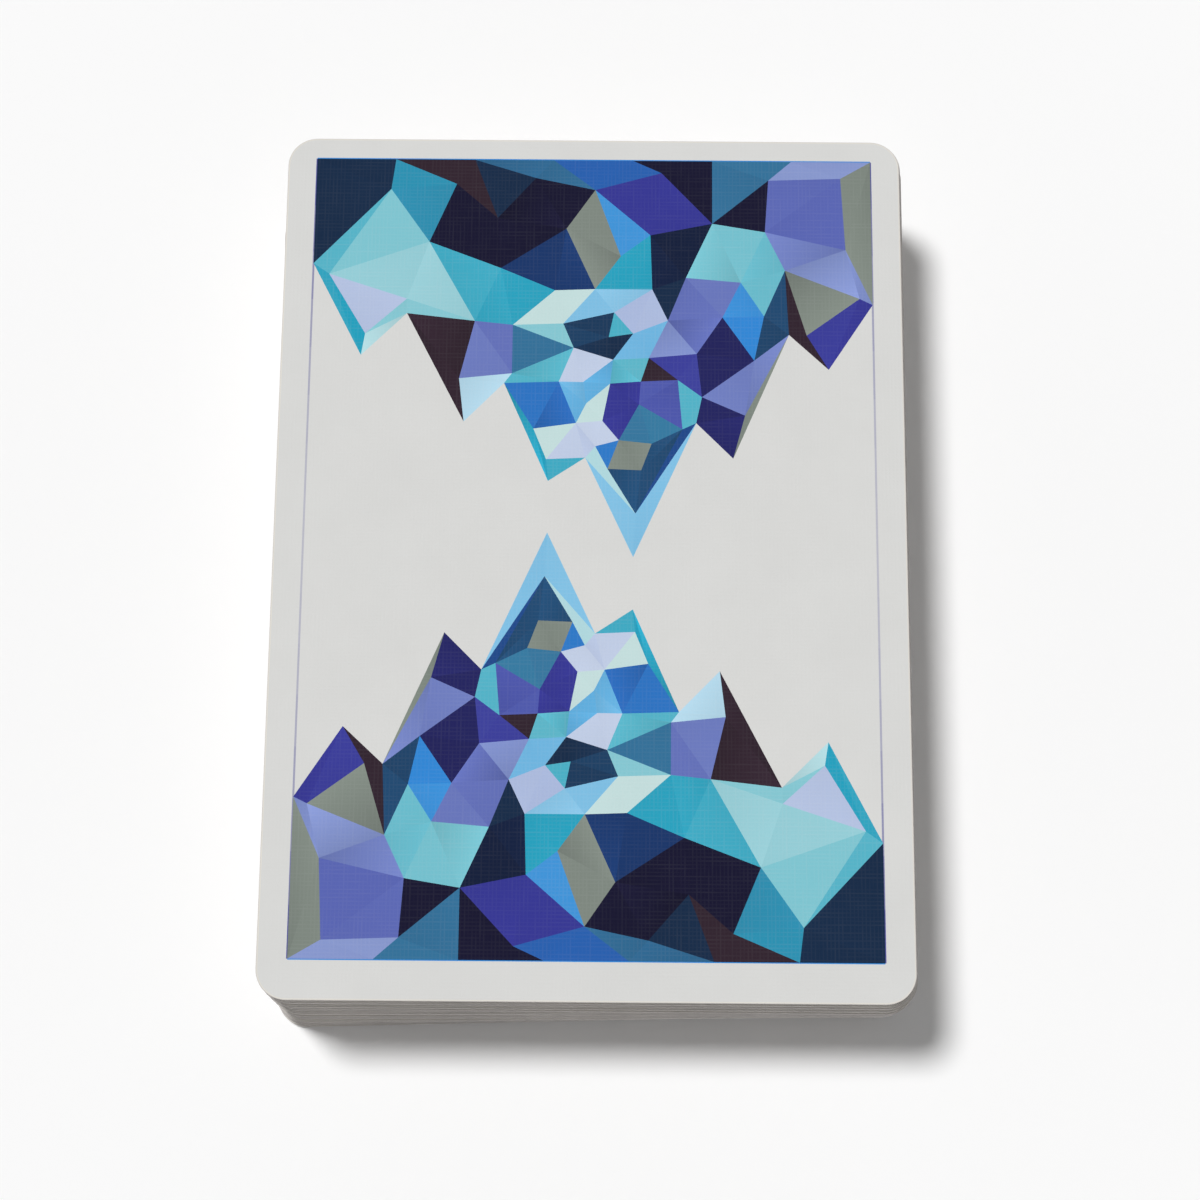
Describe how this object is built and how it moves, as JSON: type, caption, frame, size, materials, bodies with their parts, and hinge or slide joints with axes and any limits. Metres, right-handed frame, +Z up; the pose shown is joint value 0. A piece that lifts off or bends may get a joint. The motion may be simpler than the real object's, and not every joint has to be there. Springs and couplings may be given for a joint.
{
  "type": "playing card deck",
  "caption": "Squared pack of poker-size playing cards lying face down, each a thin round-cornered plate that slides off the pack when it is dealt.",
  "frame": {"origin": "middle of the bottom card's printed face, which lies on the table", "axes": "+X along the bottom card's short edges, to the side a card is dealt to; +Y along its long edges, away from the viewer; +Z up through the pack"},
  "size_m": [0.0666, 0.0914, 0.0157],
  "materials": {
    "card_stock": "white pasteboard with a linen emboss and a satin varnish, printed on both sides"
  },
  "bodies": {
    "ace_of_spades": {"ace_of_spades": "card_stock"},
    "two_of_spades": {"two_of_spades": "card_stock"},
    "three_of_spades": {"three_of_spades": "card_stock"},
    "four_of_spades": {"four_of_spades": "card_stock"},
    "five_of_spades": {"five_of_spades": "card_stock"},
    "six_of_spades": {"six_of_spades": "card_stock"},
    "seven_of_spades": {"seven_of_spades": "card_stock"},
    "eight_of_spades": {"eight_of_spades": "card_stock"},
    "nine_of_spades": {"nine_of_spades": "card_stock"},
    "ten_of_spades": {"ten_of_spades": "card_stock"},
    "jack_of_spades": {"jack_of_spades": "card_stock"},
    "queen_of_spades": {"queen_of_spades": "card_stock"},
    "king_of_spades": {"king_of_spades": "card_stock"},
    "ace_of_diamonds": {"ace_of_diamonds": "card_stock"},
    "two_of_diamonds": {"two_of_diamonds": "card_stock"},
    "three_of_diamonds": {"three_of_diamonds": "card_stock"},
    "four_of_diamonds": {"four_of_diamonds": "card_stock"},
    "five_of_diamonds": {"five_of_diamonds": "card_stock"},
    "six_of_diamonds": {"six_of_diamonds": "card_stock"},
    "seven_of_diamonds": {"seven_of_diamonds": "card_stock"},
    "eight_of_diamonds": {"eight_of_diamonds": "card_stock"},
    "nine_of_diamonds": {"nine_of_diamonds": "card_stock"},
    "ten_of_diamonds": {"ten_of_diamonds": "card_stock"},
    "jack_of_diamonds": {"jack_of_diamonds": "card_stock"},
    "queen_of_diamonds": {"queen_of_diamonds": "card_stock"},
    "king_of_diamonds": {"king_of_diamonds": "card_stock"},
    "king_of_clubs": {"king_of_clubs": "card_stock"},
    "queen_of_clubs": {"queen_of_clubs": "card_stock"},
    "jack_of_clubs": {"jack_of_clubs": "card_stock"},
    "ten_of_clubs": {"ten_of_clubs": "card_stock"},
    "nine_of_clubs": {"nine_of_clubs": "card_stock"},
    "eight_of_clubs": {"eight_of_clubs": "card_stock"},
    "seven_of_clubs": {"seven_of_clubs": "card_stock"},
    "six_of_clubs": {"six_of_clubs": "card_stock"},
    "five_of_clubs": {"five_of_clubs": "card_stock"},
    "four_of_clubs": {"four_of_clubs": "card_stock"},
    "three_of_clubs": {"three_of_clubs": "card_stock"},
    "two_of_clubs": {"two_of_clubs": "card_stock"},
    "ace_of_clubs": {"ace_of_clubs": "card_stock"},
    "king_of_hearts": {"king_of_hearts": "card_stock"},
    "queen_of_hearts": {"queen_of_hearts": "card_stock"},
    "jack_of_hearts": {"jack_of_hearts": "card_stock"},
    "ten_of_hearts": {"ten_of_hearts": "card_stock"},
    "nine_of_hearts": {"nine_of_hearts": "card_stock"},
    "eight_of_hearts": {"eight_of_hearts": "card_stock"},
    "seven_of_hearts": {"seven_of_hearts": "card_stock"},
    "six_of_hearts": {"six_of_hearts": "card_stock"},
    "five_of_hearts": {"five_of_hearts": "card_stock"},
    "four_of_hearts": {"four_of_hearts": "card_stock"},
    "three_of_hearts": {"three_of_hearts": "card_stock"},
    "two_of_hearts": {"two_of_hearts": "card_stock"},
    "ace_of_hearts": {"ace_of_hearts": "card_stock"},
    "plain_joker": {"plain_joker": "card_stock"},
    "coloured_joker": {"coloured_joker": "card_stock"}
  },
  "joints": [
    {"name": "coloured_joker_deal", "type": "slide", "parent": "ace_of_spades", "child": "coloured_joker", "axis": [1, 0, 0], "range_m": [0, 0.075]},
    {"name": "plain_joker_deal", "type": "slide", "parent": "ace_of_spades", "child": "plain_joker", "axis": [1, 0, 0], "range_m": [0, 0.075]},
    {"name": "ace_of_hearts_deal", "type": "slide", "parent": "ace_of_spades", "child": "ace_of_hearts", "axis": [1, 0, 0], "range_m": [0, 0.075]},
    {"name": "two_of_hearts_deal", "type": "slide", "parent": "ace_of_spades", "child": "two_of_hearts", "axis": [1, 0, 0], "range_m": [0, 0.075]},
    {"name": "three_of_hearts_deal", "type": "slide", "parent": "ace_of_spades", "child": "three_of_hearts", "axis": [1, 0, 0], "range_m": [0, 0.075]},
    {"name": "four_of_hearts_deal", "type": "slide", "parent": "ace_of_spades", "child": "four_of_hearts", "axis": [1, 0, 0], "range_m": [0, 0.075]},
    {"name": "five_of_hearts_deal", "type": "slide", "parent": "ace_of_spades", "child": "five_of_hearts", "axis": [1, 0, 0], "range_m": [0, 0.075]},
    {"name": "six_of_hearts_deal", "type": "slide", "parent": "ace_of_spades", "child": "six_of_hearts", "axis": [1, 0, 0], "range_m": [0, 0.075]},
    {"name": "seven_of_hearts_deal", "type": "slide", "parent": "ace_of_spades", "child": "seven_of_hearts", "axis": [1, 0, 0], "range_m": [0, 0.075]},
    {"name": "eight_of_hearts_deal", "type": "slide", "parent": "ace_of_spades", "child": "eight_of_hearts", "axis": [1, 0, 0], "range_m": [0, 0.075]},
    {"name": "nine_of_hearts_deal", "type": "slide", "parent": "ace_of_spades", "child": "nine_of_hearts", "axis": [1, 0, 0], "range_m": [0, 0.075]},
    {"name": "ten_of_hearts_deal", "type": "slide", "parent": "ace_of_spades", "child": "ten_of_hearts", "axis": [1, 0, 0], "range_m": [0, 0.075]},
    {"name": "jack_of_hearts_deal", "type": "slide", "parent": "ace_of_spades", "child": "jack_of_hearts", "axis": [1, 0, 0], "range_m": [0, 0.075]},
    {"name": "queen_of_hearts_deal", "type": "slide", "parent": "ace_of_spades", "child": "queen_of_hearts", "axis": [1, 0, 0], "range_m": [0, 0.075]},
    {"name": "king_of_hearts_deal", "type": "slide", "parent": "ace_of_spades", "child": "king_of_hearts", "axis": [1, 0, 0], "range_m": [0, 0.075]},
    {"name": "ace_of_clubs_deal", "type": "slide", "parent": "ace_of_spades", "child": "ace_of_clubs", "axis": [1, 0, 0], "range_m": [0, 0.075]},
    {"name": "two_of_clubs_deal", "type": "slide", "parent": "ace_of_spades", "child": "two_of_clubs", "axis": [1, 0, 0], "range_m": [0, 0.075]},
    {"name": "three_of_clubs_deal", "type": "slide", "parent": "ace_of_spades", "child": "three_of_clubs", "axis": [1, 0, 0], "range_m": [0, 0.075]},
    {"name": "four_of_clubs_deal", "type": "slide", "parent": "ace_of_spades", "child": "four_of_clubs", "axis": [1, 0, 0], "range_m": [0, 0.075]},
    {"name": "five_of_clubs_deal", "type": "slide", "parent": "ace_of_spades", "child": "five_of_clubs", "axis": [1, 0, 0], "range_m": [0, 0.075]},
    {"name": "six_of_clubs_deal", "type": "slide", "parent": "ace_of_spades", "child": "six_of_clubs", "axis": [1, 0, 0], "range_m": [0, 0.075]},
    {"name": "seven_of_clubs_deal", "type": "slide", "parent": "ace_of_spades", "child": "seven_of_clubs", "axis": [1, 0, 0], "range_m": [0, 0.075]},
    {"name": "eight_of_clubs_deal", "type": "slide", "parent": "ace_of_spades", "child": "eight_of_clubs", "axis": [1, 0, 0], "range_m": [0, 0.075]},
    {"name": "nine_of_clubs_deal", "type": "slide", "parent": "ace_of_spades", "child": "nine_of_clubs", "axis": [1, 0, 0], "range_m": [0, 0.075]},
    {"name": "ten_of_clubs_deal", "type": "slide", "parent": "ace_of_spades", "child": "ten_of_clubs", "axis": [1, 0, 0], "range_m": [0, 0.075]},
    {"name": "jack_of_clubs_deal", "type": "slide", "parent": "ace_of_spades", "child": "jack_of_clubs", "axis": [1, 0, 0], "range_m": [0, 0.075]},
    {"name": "queen_of_clubs_deal", "type": "slide", "parent": "ace_of_spades", "child": "queen_of_clubs", "axis": [1, 0, 0], "range_m": [0, 0.075]},
    {"name": "king_of_clubs_deal", "type": "slide", "parent": "ace_of_spades", "child": "king_of_clubs", "axis": [1, 0, 0], "range_m": [0, 0.075]},
    {"name": "king_of_diamonds_deal", "type": "slide", "parent": "ace_of_spades", "child": "king_of_diamonds", "axis": [1, 0, 0], "range_m": [0, 0.075]},
    {"name": "queen_of_diamonds_deal", "type": "slide", "parent": "ace_of_spades", "child": "queen_of_diamonds", "axis": [1, 0, 0], "range_m": [0, 0.075]},
    {"name": "jack_of_diamonds_deal", "type": "slide", "parent": "ace_of_spades", "child": "jack_of_diamonds", "axis": [1, 0, 0], "range_m": [0, 0.075]},
    {"name": "ten_of_diamonds_deal", "type": "slide", "parent": "ace_of_spades", "child": "ten_of_diamonds", "axis": [1, 0, 0], "range_m": [0, 0.075]},
    {"name": "nine_of_diamonds_deal", "type": "slide", "parent": "ace_of_spades", "child": "nine_of_diamonds", "axis": [1, 0, 0], "range_m": [0, 0.075]},
    {"name": "eight_of_diamonds_deal", "type": "slide", "parent": "ace_of_spades", "child": "eight_of_diamonds", "axis": [1, 0, 0], "range_m": [0, 0.075]},
    {"name": "seven_of_diamonds_deal", "type": "slide", "parent": "ace_of_spades", "child": "seven_of_diamonds", "axis": [1, 0, 0], "range_m": [0, 0.075]},
    {"name": "six_of_diamonds_deal", "type": "slide", "parent": "ace_of_spades", "child": "six_of_diamonds", "axis": [1, 0, 0], "range_m": [0, 0.075]},
    {"name": "five_of_diamonds_deal", "type": "slide", "parent": "ace_of_spades", "child": "five_of_diamonds", "axis": [1, 0, 0], "range_m": [0, 0.075]},
    {"name": "four_of_diamonds_deal", "type": "slide", "parent": "ace_of_spades", "child": "four_of_diamonds", "axis": [1, 0, 0], "range_m": [0, 0.075]},
    {"name": "three_of_diamonds_deal", "type": "slide", "parent": "ace_of_spades", "child": "three_of_diamonds", "axis": [1, 0, 0], "range_m": [0, 0.075]},
    {"name": "two_of_diamonds_deal", "type": "slide", "parent": "ace_of_spades", "child": "two_of_diamonds", "axis": [1, 0, 0], "range_m": [0, 0.075]},
    {"name": "ace_of_diamonds_deal", "type": "slide", "parent": "ace_of_spades", "child": "ace_of_diamonds", "axis": [1, 0, 0], "range_m": [0, 0.075]},
    {"name": "king_of_spades_deal", "type": "slide", "parent": "ace_of_spades", "child": "king_of_spades", "axis": [1, 0, 0], "range_m": [0, 0.075]},
    {"name": "queen_of_spades_deal", "type": "slide", "parent": "ace_of_spades", "child": "queen_of_spades", "axis": [1, 0, 0], "range_m": [0, 0.075]},
    {"name": "jack_of_spades_deal", "type": "slide", "parent": "ace_of_spades", "child": "jack_of_spades", "axis": [1, 0, 0], "range_m": [0, 0.075]},
    {"name": "ten_of_spades_deal", "type": "slide", "parent": "ace_of_spades", "child": "ten_of_spades", "axis": [1, 0, 0], "range_m": [0, 0.075]},
    {"name": "nine_of_spades_deal", "type": "slide", "parent": "ace_of_spades", "child": "nine_of_spades", "axis": [1, 0, 0], "range_m": [0, 0.075]},
    {"name": "eight_of_spades_deal", "type": "slide", "parent": "ace_of_spades", "child": "eight_of_spades", "axis": [1, 0, 0], "range_m": [0, 0.075]},
    {"name": "seven_of_spades_deal", "type": "slide", "parent": "ace_of_spades", "child": "seven_of_spades", "axis": [1, 0, 0], "range_m": [0, 0.075]},
    {"name": "six_of_spades_deal", "type": "slide", "parent": "ace_of_spades", "child": "six_of_spades", "axis": [1, 0, 0], "range_m": [0, 0.075]},
    {"name": "five_of_spades_deal", "type": "slide", "parent": "ace_of_spades", "child": "five_of_spades", "axis": [1, 0, 0], "range_m": [0, 0.075]},
    {"name": "four_of_spades_deal", "type": "slide", "parent": "ace_of_spades", "child": "four_of_spades", "axis": [1, 0, 0], "range_m": [0, 0.075]},
    {"name": "three_of_spades_deal", "type": "slide", "parent": "ace_of_spades", "child": "three_of_spades", "axis": [1, 0, 0], "range_m": [0, 0.075]},
    {"name": "two_of_spades_deal", "type": "slide", "parent": "ace_of_spades", "child": "two_of_spades", "axis": [1, 0, 0], "range_m": [0, 0.075]}
  ]
}
